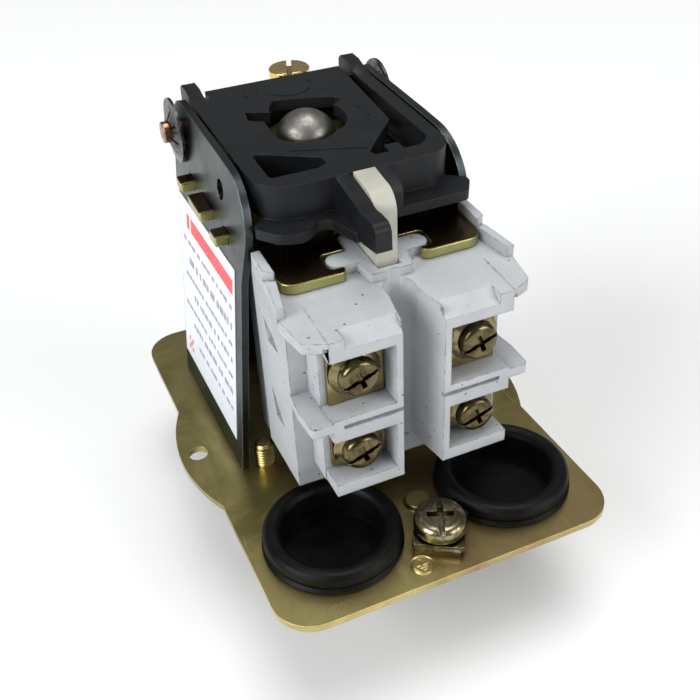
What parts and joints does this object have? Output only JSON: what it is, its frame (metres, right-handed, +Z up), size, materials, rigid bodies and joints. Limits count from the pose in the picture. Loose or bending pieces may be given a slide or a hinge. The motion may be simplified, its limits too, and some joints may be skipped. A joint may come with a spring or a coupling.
{
  "type": "pressure switch",
  "caption": "Diaphragm pressure switch without its cover: a rod under a range spring lifts a pivoted rocker that opens contacts in a white terminal block",
  "frame": {"origin": "centre of the pressure port's mouth, on the axis of the port and the rod", "axes": "+Z up along the rod, -Y toward the terminals, +X to the right seen from the terminals"},
  "size_m": [0.08, 0.1035, 0.0978],
  "materials": {
    "yellow_zinc": "yellow-passivated zinc plate with iridescent patches, satin",
    "bright_zinc": "clear zinc plate, satin",
    "label_paper": "white self-adhesive film",
    "bronze_zinc": "dark yellow-brown passivation, glossy",
    "white_thermoset": "moulded white thermoset with fine dark specks",
    "brown_fibre": "pressed fibre board",
    "strip_brass": "rolled brass",
    "strip_brass_dark": "rolled brass, slightly tarnished",
    "contact_silver": "silver contact rivets",
    "clamp_brass": "yellow-plated pressed clamp",
    "screw_gold": "yellow-plated steel",
    "bridge_copper": "rolled copper",
    "spring_steel": "drawn spring wire",
    "cream_plastic": "cream thermoplastic, slightly worn",
    "plain_steel": "turned steel",
    "charcoal_plastic": "charcoal moulded plastic, satin",
    "pin_copper": "brown-plated steel pin",
    "washer_steel": "dark spring steel",
    "olive_zinc": "yellow-green passivation",
    "dome_nickel": "worn nickel plate",
    "adjuster_brass": "turned brass",
    "black_rubber": "black rubber, semi-matte",
    "screw_pale": "pale yellow zinc plate",
    "cast_aluminium": "die-cast, matte"
  },
  "bodies": {
    "base": {"base_plate": "yellow_zinc", "frame_bracket": "bright_zinc", "rating_label": "label_paper", "retainer_plate": "bronze_zinc", "contact_block": "white_thermoset", "block_cover": "brown_fibre", "upper_terminal_strips": "strip_brass", "lower_terminal_strips": "strip_brass_dark", "fixed_contacts": "contact_silver", "terminal_clamps": "clamp_brass", "terminal_screws": "screw_gold", "contact_springs": "spring_steel", "pivot_pin": "pin_copper", "lock_washers": "washer_steel", "range_spring": "spring_steel", "differential_stud": "bright_zinc", "stud_nut": "yellow_zinc", "differential_spring": "spring_steel", "grommet_left": "black_rubber", "grommet_right": "black_rubber", "ground_screw": "screw_pale", "ground_clamp": "screw_pale", "spacer_ring": "cast_aluminium", "diaphragm": "black_rubber", "pressure_housing": "cast_aluminium", "flange_screws": "yellow_zinc"},
    "rocker": {"rocker": "charcoal_plastic", "carrier_pin": "plain_steel"},
    "plunger": {"plunger": "plain_steel", "lower_spring_seat": "bright_zinc", "lift_bar": "olive_zinc", "dome_nut": "dome_nickel"},
    "carrier": {"contact_carrier": "cream_plastic", "contact_bridges": "bridge_copper", "moving_contacts": "contact_silver"},
    "range_seat": {"upper_spring_seat": "bright_zinc"},
    "range_screw": {"range_adjuster": "screw_gold"},
    "differential_cup": {"differential_seat": "bright_zinc"},
    "differential_screw": {"differential_adjuster": "adjuster_brass"}
  },
  "joints": [
    {"name": "rocker_hinge", "type": "hinge", "parent": "base", "child": "rocker", "pos_m": [0, 0.0155, 0.0902], "axis": [-1, 0, 0], "range_deg": [0, 3]},
    {"name": "plunger_slide", "type": "slide", "parent": "base", "child": "plunger", "axis": [0, 0, 1], "range_m": [0, 0.000811], "stiffness_N_per_m": 1000, "springref_m": -0.002, "deforming": ["range_spring"]},
    {"name": "carrier_slide", "type": "slide", "parent": "base", "child": "carrier", "axis": [0, 0, 1], "range_m": [0, 0.0024], "deforming": ["contact_springs"]},
    {"name": "range_screw_turn", "type": "hinge", "parent": "range_seat", "child": "range_screw", "pos_m": [0, 0, 0.08], "axis": [0, 0, 1], "range_deg": [-360, 360]},
    {"name": "range_seat_slide", "type": "slide", "parent": "base", "child": "range_seat", "axis": [0, 0, 1], "range_m": [-0.001, 0.001]},
    {"name": "differential_screw_turn", "type": "hinge", "parent": "differential_cup", "child": "differential_screw", "pos_m": [0.007, 0.027, 0.09], "axis": [0, 0, -1], "range_deg": [0, 1440]},
    {"name": "differential_cup_slide", "type": "slide", "parent": "base", "child": "differential_cup", "axis": [0, 0, 1], "range_m": [-0.0028, 0], "deforming": ["differential_spring"]}
  ],
  "couplings": [
    {"joint": "rocker_hinge", "follows": "plunger_slide", "rad_per_m": 64.516},
    {"joint": "carrier_slide", "follows": "plunger_slide", "ratio": 2.9548},
    {"joint": "range_screw_turn", "follows": "range_seat_slide", "rad_per_m": 6283.2},
    {"joint": "differential_screw_turn", "follows": "differential_cup_slide", "rad_per_m": -8976}
  ]
}
